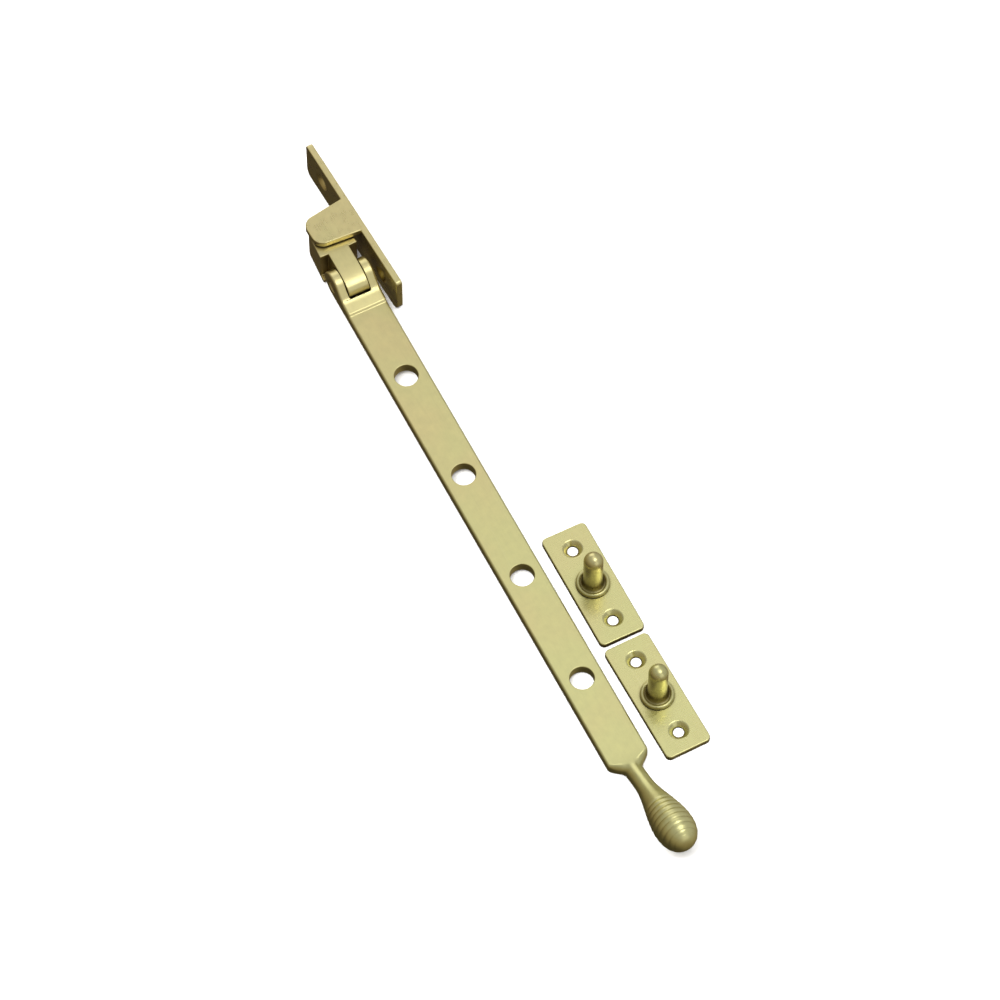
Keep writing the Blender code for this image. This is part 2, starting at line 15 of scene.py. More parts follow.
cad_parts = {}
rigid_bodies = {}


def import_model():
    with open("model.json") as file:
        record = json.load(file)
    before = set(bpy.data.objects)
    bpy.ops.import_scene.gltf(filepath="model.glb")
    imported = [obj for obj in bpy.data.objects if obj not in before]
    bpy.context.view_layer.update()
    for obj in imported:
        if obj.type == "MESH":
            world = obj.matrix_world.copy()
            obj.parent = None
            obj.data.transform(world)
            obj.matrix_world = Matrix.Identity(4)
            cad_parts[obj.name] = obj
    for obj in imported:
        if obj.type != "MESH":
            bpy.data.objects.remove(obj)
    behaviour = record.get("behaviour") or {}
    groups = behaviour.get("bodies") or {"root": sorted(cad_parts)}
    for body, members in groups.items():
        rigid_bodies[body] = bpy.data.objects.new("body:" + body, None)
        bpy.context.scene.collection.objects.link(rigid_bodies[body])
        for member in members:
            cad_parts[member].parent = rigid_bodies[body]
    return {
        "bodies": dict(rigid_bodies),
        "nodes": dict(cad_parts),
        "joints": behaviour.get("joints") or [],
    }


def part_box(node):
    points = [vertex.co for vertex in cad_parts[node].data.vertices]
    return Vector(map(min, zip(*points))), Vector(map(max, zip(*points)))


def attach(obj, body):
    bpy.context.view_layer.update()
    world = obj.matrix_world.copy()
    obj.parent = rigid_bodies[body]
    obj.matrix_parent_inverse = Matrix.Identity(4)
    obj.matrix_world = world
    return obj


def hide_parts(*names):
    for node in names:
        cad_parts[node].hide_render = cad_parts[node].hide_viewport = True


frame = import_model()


def clear_startup_scene():
    """Remove what Blender starts with, and keep the frame."""
    kept = set(frame["nodes"].values()) | set(frame["bodies"].values())
    for obj in list(bpy.data.objects):
        if obj not in kept:
            bpy.data.objects.remove(obj, do_unlink=True)


clear_startup_scene()
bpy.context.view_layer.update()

# ---------------------------------------------------------------- places from the frame

JOINTS = {joint["name"]: joint for joint in frame["joints"]}
SWIVEL = Vector(JOINTS["swivel"]["pos_m"])
PIN = Vector(JOINTS["arm_lift"]["pos_m"])
PIN_DIRECTION = Vector(JOINTS["arm_lift"]["axis"])
PLATE_LOW, PLATE_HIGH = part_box("mounting_bracket")
SURFACE_Z = PLATE_LOW.z
REST_YAW = atan2(PIN_DIRECTION.x, -PIN_DIRECTION.y)

# ---------------------------------------------------------------- dimensions
# They follow the CAD, and comments mark the main differences from it.

GAP = 0.0003                    # clearance between pieces that touch
EDGE = 0.00035                  # radius of a cast and tumbled edge
FORGED_EDGE = EDGE * 0.8
RIVET_EDGE = EDGE / 2
WASHER_EDGE = EDGE / 3
ROUNDED_ANGLE = radians(38)     # an edge sharper than this is rounded
SHARP_ANGLE = radians(40)       # and one sharper than this keeps its line in the shading

PLATE_LENGTH = PLATE_HIGH.x - PLATE_LOW.x
PLATE_HEIGHT = PLATE_HIGH.z - PLATE_LOW.z
PLATE_THICKNESS = 0.0024
PLATE_UPPER_CORNER = 0.0012
PLATE_LOWER_CORNER = 0.0030
PLATE_SCREW_SPACING = 0.0430
LUG_THICKNESS = 0.0024
LUG_ROOT_HALF_WIDTH = 0.0074
LUG_TIP_HALF_WIDTH = 0.0060
LUG_TIP_CORNER = 0.0042
SCREW_RADIUS = 0.0019
COUNTERSINK_RADIUS = 0.0036
COUNTERSINK_DEPTH = 0.0016

RIVET_RADIUS = 0.0023
RIVET_HEAD_RADIUS = 0.0040
RIVET_HEAD_THICKNESS = 0.0012
WASHER_RADIUS = 0.0056
WASHER_LIFT = 0.0002            # not in the CAD: brings the washer closer to the lug

KNUCKLE_BOTTOM = 0.0012         # heights are above the surface
KNUCKLE_BACK_RADIUS = 0.0065
KNUCKLE_FRONT_HALF_WIDTH = 0.0072
KNUCKLE_SHOULDER = 0.0087
KNUCKLE_LIP = 0.0110
KNUCKLE_LIP_TOP = 0.0027
LIP_SLOPE = 0.0015
TONGUE_WIDTH = 0.0078           # wider than the CAD's by 0.3 mm, a close fit in the fork
SLOT_WIDTH = 0.0081
NOSE_FORWARD = 0.0016
NOSE_EASE_START = 0.0058        # not in the CAD: the top eases from this far behind
NOSE_EASE_END = radians(68)     # down to this slope, where the round part begins
NOSE_EASE_PULL = (0.0034, 0.0034)  # lengths of the easing curve's two handles
PIN_RADIUS = 0.0020

ARM_WIDTH = 0.0147              # the arm's lengths are from the cross pin
BARREL_RADIUS = 0.0054
BARREL_BACK_ANGLE = radians(175)  # the barrel's round part runs from here, over its top,
BARREL_BLEND_ANGLE = radians(50)  # to here
BLOCK_SLOPE_START = (0.0092, 0.0001)
BLOCK_SLOPE_END = (0.0124, -0.0005)
BLOCK_HOLLOW = 0.0026           # how far the hollow behind the block reaches each way
BLADE_START = 0.0131            # sooner than in the CAD by 0.7 mm
STEP_EDGE = 0.0003              # length over which the ends of the step are rounded
BLADE_THICKNESS = 0.0042
BLADE_END = 0.2008
BLADE_EDGE = 0.0008
REST_CLEARANCE = 0.00015        # the shoulder behind the blade's end touches first
FORK_SLOT_DEPTH = 0.0078
FORK_SLOT_CORNER = 0.0010
HOLE_RADIUS = 0.00410
FIRST_HOLE = 0.0421
HOLE_PITCH = 0.04275
HOLE_COUNT = 4

SHOULDER_START = 0.0014         # the handle's stations are from the end of the blade
SHOULDER_END = 0.0064
RIDGE_START = 0.0010            # the upper corners grow round from here
RIDGE_END = 0.0052              # to here,
RIDGE_DEPTH = 1.35              # and reach down this many half thicknesses
NECK_STATION = 0.0120
NECK_RADIUS = 0.00315
NECK_GROWTH_START = 0.0030
KNOB_STATION = 0.0342
KNOB_RADIUS = 0.00677           # this and the next are slightly under the CAD's
KNOB_END_LENGTH = 0.0095
KNOB_END_FULLNESS = 2.3         # 2 would be an ellipse
KNOB_END_ANGLE = radians(88.5)  # where the last section closes the knob
HANDLE_RISE = radians(17.5)
HANDLE_BEND_LENGTH = 0.0120
REED_COUNT = 8                  # rings turned on the knob, which the CAD doesn't have
REED_START = 0.0254             # station of the first groove
REED_PITCH = 0.00222            # along the knob's surface
REED_DEPTH = 0.00036
REED_FADE = 0.7                 # the last groove is shallower by this share,
REED_FADE_POWER = 4             # which comes in late
REED_FULLNESS = 0.8             # 1 would be a sine wave's arches

PEG_PLATE_THICKNESS = 0.0023
PEG_PLATE_CORNER = 0.0018
PEG_SCREW_SPACING = 0.0292
PEG_SCREW_RADIUS = 0.0018
PEG_COUNTERSINK_RADIUS = 0.0034
PEG_COUNTERSINK_DEPTH = 0.0015
PEG_SPIGOT_RADIUS = 0.0022
PEG_COLLAR_RADIUS = 0.00575
PEG_LIP_RADIUS = 0.0050         # not in the CAD: where the rolled collar is highest
PEG_COLLAR_HEIGHT = 0.0015
PEG_COVE_RADIUS = 0.0042        # and where the hollow between shaft and lip begins
PEG_COVE_HEIGHT = 0.0021
PEG_SHAFT_RADIUS = 0.0033
PEG_TOP_HEIGHT = 0.0208
PEG_PLATE_LENGTH = 0.0447
PEG_PLATE_WIDTH = 0.0164
PEG_TURNS = {1: radians(-2.7), 2: radians(-1.7)}

# ---------------------------------------------------------------- fineness of the meshes

ROUND_STEPS = 96                # facets of a full turn
PLATE_UPPER_STEPS = 8           # the rest are steps along one arc or curve
PLATE_LOWER_STEPS = 14
LUG_TIP_STEPS = 24
KNUCKLE_BACK_STEPS = 48
NOSE_STEPS = 40
CURVE_STEPS = 20
BEND_STEPS = 5
BARREL_BACK_STEPS = 24
BARREL_FRONT_STEPS = 12
SHOULDER_STEPS = 48
NECK_STEPS = 24
REED_STEPS = 14
KNOB_END_STEPS = 16
SECTION_CORNER_STEPS = 14
CORNER_STEPS = 10
DOME_STEPS = 20
COVE_STEPS = 14
LIP_STEPS = 8
RIM_STEPS = 12

TURNED_MERGE = 0.000001         # points closer than these become one
LOFT_MERGE = 0.0000005
CUT_MERGE = 0.000002


# ---------------------------------------------------------------- outlines and shapes

def ellipse(centre, half_width, half_height, start, end, steps):
    """Points on a stretched arc, from one angle to another."""
    angles = [start + (end - start) * k / steps for k in range(steps + 1)]
    return [(centre[0] + half_width * cos(a), centre[1] + half_height * sin(a)) for a in angles]


def arc(centre, radius, start, end, steps):
    """Points on a round arc, from one angle to another."""
    return ellipse(centre, radius, radius, start, end, steps)


def cubic(points, t):
    """A point on a cubic Bezier."""
    weights = [(1 - t) ** 3, 3 * t * (1 - t) ** 2, 3 * t * t * (1 - t), t ** 3]
    return tuple(sum(w * p[k] for w, p in zip(weights, points)) for k in range(2))


def rounded_rectangle(length, width, corner):
    """A rectangle with round corners, about the origin, anticlockwise."""
    x, y = length / 2 - corner, width / 2 - corner
    centres = [(x, y), (-x, y), (-x, -y), (x, -y)]
    points = []
    for quarter, centre in enumerate(centres):
        start = quarter * pi / 2
        points += arc(centre, corner, start, start + pi / 2, CORNER_STEPS)
    return points


def mesh_object(name, work):
    """A new object from a bmesh, linked to the scene."""
    mesh = bpy.data.meshes.new(name)
    bmesh.ops.recalc_face_normals(work, faces=work.faces)
    work.to_mesh(mesh)
    work.free()
    obj = bpy.data.objects.new(name, mesh)
    bpy.context.scene.collection.objects.link(obj)
    return obj


def slab(points, low, high, plane="XY"):
    """Extrude a flat outline between two offsets: along Z, or along Y for plane XZ."""
    work = bmesh.new()

    def corner(u, v, offset):
        return (u, offset, v) if plane == "XZ" else (u, v, offset)

    bottom = [work.verts.new(corner(u, v, low)) for u, v in points]
    top = [work.verts.new(corner(u, v, high)) for u, v in points]
    for k in range(len(points)):
        n = (k + 1) % len(points)
        work.faces.new((bottom[k], bottom[n], top[n], top[k]))
    work.faces.new(bottom)
    work.faces.new(top)
    return mesh_object("slab", work)


def turned(profile):
    """Turn a profile of (radius, height) points, top to bottom, about the vertical."""
    work = bmesh.new()
    verts = [work.verts.new((radius, 0.0, height)) for radius, height in profile]
    edges = [work.edges.new(pair) for pair in zip(verts, verts[1:])]
    bmesh.ops.spin(work, geom=verts + edges, cent=(0, 0, 0), axis=(0, 0, 1),
                   angle=2 * pi, steps=ROUND_STEPS, use_merge=True)
    bmesh.ops.remove_doubles(work, verts=work.verts, dist=TURNED_MERGE)
    return mesh_object("turned", work)


def loft(sections):
    """Skin a row of cross-sections that all have the same number of points."""
    work = bmesh.new()
    rings = [[work.verts.new(point) for point in section] for section in sections]
    for ring, following in zip(rings, rings[1:]):
        for k in range(len(ring)):
            n = (k + 1) % len(ring)
            work.faces.new((ring[k], ring[n], following[n], following[k]))
    work.faces.new(rings[0])
    work.faces.new(rings[-1])
    bmesh.ops.remove_doubles(work, verts=work.verts, dist=LOFT_MERGE)
    return mesh_object("loft", work)


def drill(radius, low, high, sink_radius=None, sink_depth=0.0, face=0.0):
    """A vertical round cutter, which may widen to a countersink in the face at a height."""
    profile = [(0.0, high)]
    if sink_radius:
        profile += [(sink_radius + high - face, high), (radius, face - sink_depth)]
    else:
        profile.append((radius, high))
    profile += [(radius, low), (0.0, low)]
    return turned(profile)


def placed(obj, location=(0.0, 0.0, 0.0), tip=0.0):
    """Move a shape, after tipping its axis from Z towards -Y."""
    obj.data.transform(Matrix.Translation(location) @ Matrix.Rotation(tip, 4, "X"))
    return obj


def cut(obj, cutter, operation="DIFFERENCE"):
    """Apply an exact Boolean and remove its cutter."""
    modifier = obj.modifiers.new("cut", "BOOLEAN")
    modifier.operation = operation
    modifier.solver = "EXACT"
    modifier.object = cutter
    apply_modifiers(obj)
    bpy.data.objects.remove(cutter, do_unlink=True)


def apply_modifiers(obj):
    """Replace a piece's mesh by its finished shape."""
    bpy.context.view_layer.update()
    evaluated = obj.evaluated_get(bpy.context.evaluated_depsgraph_get())
    finished = bpy.data.meshes.new_from_object(evaluated)
    obj.modifiers.clear()
    obj.data = finished


def round_edges(obj, radius=EDGE, segments=3):
    """Round every sharp edge of a piece."""
    work = bmesh.new()
    work.from_mesh(obj.data)
    bmesh.ops.remove_doubles(work, verts=work.verts, dist=CUT_MERGE)
    bmesh.ops.dissolve_degenerate(work, edges=work.edges, dist=CUT_MERGE)
    work.to_mesh(obj.data)
    work.free()
    bevel = obj.modifiers.new("round_edges", "BEVEL")
    bevel.width = radius
    bevel.segments = segments
    bevel.limit_method = "ANGLE"
    bevel.angle_limit = ROUNDED_ANGLE
    bevel.use_clamp_overlap = False
    apply_modifiers(obj)


def as_piece(obj, name, body, node, material, place=None):
    """Shade, name and place a finished piece, and let it stand for its CAD node."""
    obj.name = name
    obj.data.name = name
    obj.data.shade_smooth()
    obj.data.set_sharp_from_angle(angle=SHARP_ANGLE)
    weighted = obj.modifiers.new("face_weighted_normals", "WEIGHTED_NORMAL")
    weighted.keep_sharp = True
    obj.data.materials.clear()
    obj.data.materials.append(material)
    if place is not None:
        obj.data.transform(place)
    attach(obj, body)
    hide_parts(node)
    return obj


# ---------------------------------------------------------------- satin brass

WARM = (0.80, 0.69, 0.34, 1.0)
GREEN = (0.755, 0.725, 0.34, 1.0)
# the next colour is shade, painted dark brown into hollows, gaps and metal next to other parts
PAINTED_SHADE = (0.12, 0.075, 0.02, 1.0)
WORN = (0.95, 0.88, 0.52, 1.0)

TONE_SPAN = (0.0, 0.21)         # X over which the tone drifts from warm to green
TONE_PATCHES = (-0.25, 0.25)    # and how far it wanders from that in large patches
SPOT_SHADES = (0.95, 1.03)      # darkest and lightest factor of the mottling
LINE_SHADES = (0.98, 1.012)     # and of the brush lines
ROUGH_SPOTS = (-0.035, 0.045)   # what they add to the roughness
ROUGH_LINES = (-0.03, 0.03)
PAINTED_SHADE_FULL_AT = 0.20            # share of open air at which the painted shade is darkest
WORN_POINTINESS = (0.53, 0.62)  # between a flat face and the crest of an edge
WORN_SHARES = (0.0, 0.22)       # how much of the bare metal shows there

MOTTLE_SCALE = 330.0            # spots a metre
GRAIN_SCALE = 2600.0
DRIFT_SCALE = 46.0
NOISE_SPAN = (0.30, 0.70)       # where nearly all of a noise pattern's values lie
DRIFT_SPAN = (0.36, 0.64)
BUMP_HEIGHT = 0.00003
OPEN_AIR_SAMPLES = 16

ALONG_X = (90.0, 2400.0, 2400.0)  # brush lines a metre along each axis
ALONG_Y = (2400.0, 90.0, 2400.0)
TURNED = (900.0, 900.0, 2600.0)


class Nodes:
    """A short way to add and link shader nodes."""

    def __init__(self, owner):
        self.tree = owner.node_tree

    def add(self, kind, inputs=None, **settings):
        """Add a node; an input's value is a socket to link, or a constant."""
        node = self.tree.nodes.new(kind)
        for key, value in settings.items():
            setattr(node, key, value)
        for key, value in (inputs or {}).items():
            if isinstance(value, bpy.types.NodeSocket):
                self.tree.links.new(value, node.inputs[key])
            else:
                node.inputs[key].default_value = value
        return node

    def noise(self, place, scale, detail, roughness=0.5):
        """A noise pattern, from 0 to 1."""
        node = self.add("ShaderNodeTexNoise", {"Vector": place, "Scale": scale,
                                               "Detail": detail, "Roughness": roughness})
        return node.outputs["Fac"]

    def stretch(self, value, found=(0.0, 1.0), wanted=(0.0, 1.0)):
        """A value moved from the span where it is found to another one, and kept in it."""
        node = self.add("ShaderNodeMapRange", {"Value": value, "From Min": found[0],
                                               "From Max": found[1], "To Min": wanted[0],
                                               "To Max": wanted[1]})
        return node.outputs["Result"]

    def combine(self, operation, first, second, use_clamp=False):
        """The sum or product of two values."""
        node = self.add("ShaderNodeMath", {0: first, 1: second}, operation=operation,
                        use_clamp=use_clamp)
        return node.outputs["Value"]

    def blend(self, share, first, second):
        """A colour between two others."""
        node = self.add("ShaderNodeMix", {"Factor": share, "A": first, "B": second},
                        data_type="RGBA")
        return node.outputs["Result"]

    def link(self, source, target):
        """Link an output to an input."""
        self.tree.links.new(source, target)


def satin_brass(name, rough, brushing, reach=0.0035, shade_ends_at=0.72, bump=0.09):
    """Satin brass that drifts from a warm tone to a greener one along X.

    rough is its mean roughness and brushing the scale of its brush lines. reach is how
    far from other metal shade is painted into its colour in dark brown, and the argument
    after it is the share of open air at which that painted shade ends. bump is how strongly
    the lines and the grain show in its relief.
    """
    material = bpy.data.materials.new(name)
    material.use_nodes = True
    shader = material.node_tree.nodes["Principled BSDF"]
    shader.inputs["Metallic"].default_value = 1.0
    n = Nodes(material)
    place = n.add("ShaderNodeTexCoord").outputs["Object"]
    across = n.add("ShaderNodeSeparateXYZ", {"Vector": place}).outputs["X"]
    brushed = n.add("ShaderNodeMapping", {"Vector": place, "Scale": brushing}).outputs["Vector"]
    lines = n.noise(brushed, 1.0, 3.0, roughness=0.6)
    grain = n.noise(place, GRAIN_SCALE, 2.0)
    mottle = n.noise(place, MOTTLE_SCALE, 4.0, roughness=0.55)
    drift = n.noise(place, DRIFT_SCALE, 2.0)

    patches = n.stretch(drift, DRIFT_SPAN, TONE_PATCHES)
    tone = n.combine("ADD", n.stretch(across, TONE_SPAN), patches, use_clamp=True)
    shades = n.combine("MULTIPLY", n.stretch(mottle, NOISE_SPAN, SPOT_SHADES),
                       n.stretch(lines, NOISE_SPAN, LINE_SHADES))
    toned = n.add("ShaderNodeVectorMath", {0: n.blend(tone, WARM, GREEN), "Scale": shades},
                  operation="SCALE").outputs["Vector"]
    # painted shade: where little open air is left, in hollows, gaps and beside other metal, the
    # colour turns dark brown
    open_air = n.add("ShaderNodeAmbientOcclusion", {"Distance": reach},
                     samples=OPEN_AIR_SAMPLES).outputs["AO"]
    shade_painted = n.blend(n.stretch(open_air, (PAINTED_SHADE_FULL_AT, shade_ends_at)), PAINTED_SHADE, toned)
    pointiness = n.add("ShaderNodeNewGeometry").outputs["Pointiness"]
    worn = n.stretch(pointiness, WORN_POINTINESS, WORN_SHARES)
    n.link(n.blend(worn, shade_painted, WORN), shader.inputs["Base Color"])

    around = (rough + ROUGH_SPOTS[0], rough + ROUGH_SPOTS[1])
    roughness = n.combine("ADD", n.stretch(mottle, NOISE_SPAN, around),
                          n.stretch(lines, NOISE_SPAN, ROUGH_LINES))
    n.link(roughness, shader.inputs["Roughness"])

    relief = n.combine("ADD", lines, grain)
    rise = n.add("ShaderNodeBump", {"Height": relief, "Strength": bump,
                                    "Distance": BUMP_HEIGHT})
    n.link(rise.outputs["Normal"], shader.inputs["Normal"])
    return material


# each piece's reach and the share after it set how much shade is painted into its colour
BRACKET_BRASS = satin_brass("bracket_satin_brass", 0.30, ALONG_X, reach=0.0040, bump=0.05)
RIVET_BRASS = satin_brass("rivet_satin_brass", 0.36, TURNED)
KNUCKLE_BRASS = satin_brass("knuckle_satin_brass", 0.33, ALONG_X, reach=0.0060, shade_ends_at=0.80)
ARM_BRASS = satin_brass("arm_satin_brass", 0.34, ALONG_X)
PEG_PLATE_BRASS = satin_brass("peg_plate_satin_brass", 0.27, ALONG_Y, shade_ends_at=0.85)
PEG_PIN_BRASS = satin_brass("peg_pin_satin_brass", 0.30, TURNED, reach=0.0140, shade_ends_at=0.98)


# ---------------------------------------------------------------- mounting bracket

def plate_outline():
    """The bracket's plate, seen along Y: larger round corners at its lower edge."""
    x, z = PLATE_LENGTH / 2, PLATE_HEIGHT / 2
    upper, lower = PLATE_UPPER_CORNER, PLATE_LOWER_CORNER
    points = arc((x - upper, z - upper), upper, 0.0, pi / 2, PLATE_UPPER_STEPS)
    points += arc((upper - x, z - upper), upper, pi / 2, pi, PLATE_UPPER_STEPS)
    points += arc((lower - x, lower - z), lower, pi, 1.5 * pi, PLATE_LOWER_STEPS)
    points += arc((x - lower, lower - z), lower, 1.5 * pi, 2 * pi, PLATE_LOWER_STEPS)
    return points


def lug_outline():
    """The lug, seen from above: it tapers to a tip with two round corners."""
    tip_y = PLATE_LOW.y
    taper = atan2(LUG_ROOT_HALF_WIDTH - LUG_TIP_HALF_WIDTH, -PLATE_THICKNESS - tip_y)
    corner_x = LUG_TIP_HALF_WIDTH - LUG_TIP_CORNER
    centre = (corner_x, tip_y + LUG_TIP_CORNER)
    right = arc(centre, LUG_TIP_CORNER, -pi / 2, -taper, LUG_TIP_STEPS)
    left = [(-x, y) for x, y in reversed(right)]
    root, root_y = LUG_ROOT_HALF_WIDTH, -PLATE_THICKNESS / 2
    return left + right + [(root, root_y), (-root, root_y)]


def make_bracket():
    """Plate and lug in one piece, with two countersunk holes and the rivet's socket."""
    bracket = slab(plate_outline(), -PLATE_THICKNESS, 0.0, plane="XZ")
    top = PLATE_HEIGHT / 2
    cut(bracket, slab(lug_outline(), top - LUG_THICKNESS, top), "UNION")
    socket = drill(RIVET_RADIUS + GAP, top - 2 * LUG_THICKNESS, top - LUG_THICKNESS / 2)
    cut(bracket, placed(socket, (SWIVEL.x, SWIVEL.y, 0.0)))
    for side in (-1, 1):
        hole = drill(SCREW_RADIUS, -PLATE_THICKNESS, 2 * PLATE_THICKNESS, COUNTERSINK_RADIUS,
                     COUNTERSINK_DEPTH, face=PLATE_THICKNESS)
        cut(bracket, placed(hole, (side * PLATE_SCREW_SPACING / 2, 0.0, 0.0), tip=pi / 2))
    round_edges(bracket)
    as_piece(bracket, "bracket_casting", "bracket", "mounting_bracket", BRACKET_BRASS)


# ---------------------------------------------------------------- swivel joint

def make_rivet():
    """The swivel rivet, between the lug's socket and the sunk head under the knuckle."""
    low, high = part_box("swivel_rivet")
    head_top = RIVET_HEAD_THICKNESS
    profile = [(0.0, high.z - low.z), (RIVET_RADIUS, high.z - low.z), (RIVET_RADIUS, head_top),
               (RIVET_HEAD_RADIUS, head_top), (RIVET_HEAD_RADIUS, 0.0), (0.0, 0.0)]
    rivet = turned(profile)
    round_edges(rivet, RIVET_EDGE)
    as_piece(rivet, "swivel_rivet_turned", "bracket", "swivel_rivet", RIVET_BRASS,
             Matrix.Translation((SWIVEL.x, SWIVEL.y, low.z)))


def make_washer():
    """The thin washer between the lug and the knuckle."""
    low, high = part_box("swivel_washer")
    thickness = high.z - low.z - WASHER_LIFT / 2
    bore = RIVET_RADIUS + GAP
    washer = turned([(WASHER_RADIUS, thickness), (WASHER_RADIUS, 0.0), (bore, 0.0),
                     (bore, thickness), (WASHER_RADIUS, thickness)])
    round_edges(washer, WASHER_EDGE, segments=2)
    as_piece(washer, "swivel_washer_turned", "knuckle", "swivel_washer", RIVET_BRASS,
             Matrix.Translation((SWIVEL.x, SWIVEL.y, low.z + WASHER_LIFT)))


def knuckle_top():
    """Height of the knuckle's flat top above the surface: it touches the washer."""
    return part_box("swivel_washer")[0].z - SURFACE_Z + WASHER_LIFT


def knuckle_plan():
    """The knuckle seen from above: round behind the swivel axis, wider in front of it."""
    half = KNUCKLE_FRONT_HALF_WIDTH
    reach = 3 * KNUCKLE_LIP
    front = [(KNUCKLE_LIP, -half), (reach, -half), (reach, half), (KNUCKLE_LIP, half)]
    back = arc((0.0, 0.0), KNUCKLE_BACK_RADIUS, pi / 2, 1.5 * pi, KNUCKLE_BACK_STEPS)
    return back + front


def knuckle_side(pin_x, pin_z):
    """The knuckle seen from the side: flat top, round nose and lower lip."""
    nose = knuckle_top() - pin_z
    back = -2 * KNUCKLE_BACK_RADIUS
    centre, round_from = (pin_x + NOSE_FORWARD, pin_z), pi / 2 - NOSE_EASE_END
    round_part = arc(centre, nose, round_from, -pi / 2, NOSE_STEPS)
    (start_x, top), (end_x, end_z) = (centre[0] - NOSE_EASE_START, knuckle_top()), round_part[0]
    first_pull, last_pull = NOSE_EASE_PULL
    ease = [(start_x, top), (start_x + first_pull, top),
            (end_x - last_pull * cos(NOSE_EASE_END), end_z + last_pull * sin(NOSE_EASE_END)),
            (end_x, end_z)]
    points = [cubic(ease, k / CURVE_STEPS) for k in range(CURVE_STEPS)] + round_part
    points += [(KNUCKLE_LIP + LIP_SLOPE, pin_z - nose)]
    points += [(KNUCKLE_LIP, KNUCKLE_LIP_TOP), (KNUCKLE_LIP, KNUCKLE_BOTTOM)]
    points += [(back, KNUCKLE_BOTTOM), (back, knuckle_top())]
    return points


def make_knuckle():
    """The swivel knuckle, with the tongue that the arm's fork straddles."""
    pin_x = (PIN - SWIVEL).length
    pin_z = PIN.z - SURFACE_Z
    above, width = 2 * PLATE_HEIGHT, 2 * ARM_WIDTH
    knuckle = slab(knuckle_plan(), 0.0, PLATE_HEIGHT)
    cut(knuckle, slab(knuckle_side(pin_x, pin_z), -width, width, plane="XZ"), "INTERSECT")
    reach = 4 * KNUCKLE_LIP
    shoulder = [(KNUCKLE_SHOULDER, KNUCKLE_LIP_TOP), (reach, KNUCKLE_LIP_TOP),
                (reach, above), (KNUCKLE_SHOULDER, above)]
    for low, high in ((-width, -TONGUE_WIDTH / 2), (TONGUE_WIDTH / 2, width)):
        cut(knuckle, slab(shoulder, low, high, plane="XZ"))
    head_room = KNUCKLE_BOTTOM + RIVET_HEAD_THICKNESS + 2 * GAP
    shank, head = RIVET_RADIUS + GAP, RIVET_HEAD_RADIUS + GAP
    cut(knuckle, turned([(0.0, above), (shank, above), (shank, head_room),
                         (head, head_room), (head, -above), (0.0, -above)]))
    pin_hole = drill(PIN_RADIUS + GAP, -width, width)
    cut(knuckle, placed(pin_hole, (pin_x, 0.0, pin_z), tip=pi / 2))
    round_edges(knuckle, FORGED_EDGE)
    foot = Matrix.Translation((SWIVEL.x, SWIVEL.y, SURFACE_Z))
    as_piece(knuckle, "knuckle_casting", "knuckle", "swivel_knuckle", KNUCKLE_BRASS,
             foot @ Matrix.Rotation(REST_YAW, 4, "Z"))


# ---------------------------------------------------------------- arm

def rounded_bend(before, corner, after):
    """Points on a small curve that replaces a corner between two straight stretches."""
    start = corner + (before - corner).normalized() * STEP_EDGE
    end = corner + (after - corner).normalized() * STEP_EDGE
    return [tuple(start.lerp(corner, t).lerp(corner.lerp(end, t), t))
            for t in (k / BEND_STEPS for k in range(BEND_STEPS + 1))]


def fork_stations():
    """(x, lower z, upper z) of the barrel, the sloping block and the ramp to the blade."""
    radius = BARREL_RADIUS
    back = arc((0, 0), radius, BARREL_BACK_ANGLE, pi / 2, BARREL_BACK_STEPS)
    front = arc((0, 0), radius, pi / 2, BARREL_BLEND_ANGLE, BARREL_FRONT_STEPS)
    (start_x, start_z), (near_x, near_z) = front[-1], BLOCK_SLOPE_START
    steep = -1 / tan(BARREL_BLEND_ANGLE)
    fall = (BLOCK_SLOPE_END[1] - near_z) / (BLOCK_SLOPE_END[0] - near_x)
    hollow = [front[-1], (start_x + BLOCK_HOLLOW, start_z + steep * BLOCK_HOLLOW),
              (near_x - BLOCK_HOLLOW, near_z - fall * BLOCK_HOLLOW), BLOCK_SLOPE_START]
    blend = [cubic(hollow, k / CURVE_STEPS) for k in range(1, CURVE_STEPS + 1)]
    blade_top = BLADE_THICKNESS - BARREL_RADIUS
    near, brow = Vector(BLOCK_SLOPE_START), Vector(BLOCK_SLOPE_END)
    foot, blade = Vector((BLADE_START, blade_top)), Vector((2 * BLADE_START, blade_top))
    top = front[1:] + blend + rounded_bend(near, brow, foot) + rounded_bend(brow, foot, blade)
    return [(x, -z, z) for x, z in back] + [(x, -radius, z) for x, z in top]


def smooth_step(t):
    """0 to 1 with level ends."""
    t = min(max(t, 0.0), 1.0)
    return t * t * (3 - 2 * t)


def handle_centre(station):
    """(x, z, slope) of the handle's centre line, which bends up and then runs straight."""
    bend = min(station, HANDLE_BEND_LENGTH)
    radius = HANDLE_BEND_LENGTH / HANDLE_RISE
    angle = bend / radius
    x = BLADE_END + radius * sin(angle)
    z = BLADE_THICKNESS / 2 - BARREL_RADIUS + radius * (1 - cos(angle))
    straight = station - bend
    return x + straight * cos(angle), z + straight * sin(angle), angle


def plain_knob(station):
    """The knob's radius without its rings."""
    if station < KNOB_STATION:
        t = (station - NECK_STATION) / (KNOB_STATION - NECK_STATION)
        return NECK_RADIUS + (KNOB_RADIUS - NECK_RADIUS) * smooth_step(t)
    t = min((station - KNOB_STATION) / KNOB_END_LENGTH, 1.0)
    return KNOB_RADIUS * (1 - t ** KNOB_END_FULLNESS) ** (1 / KNOB_END_FULLNESS)


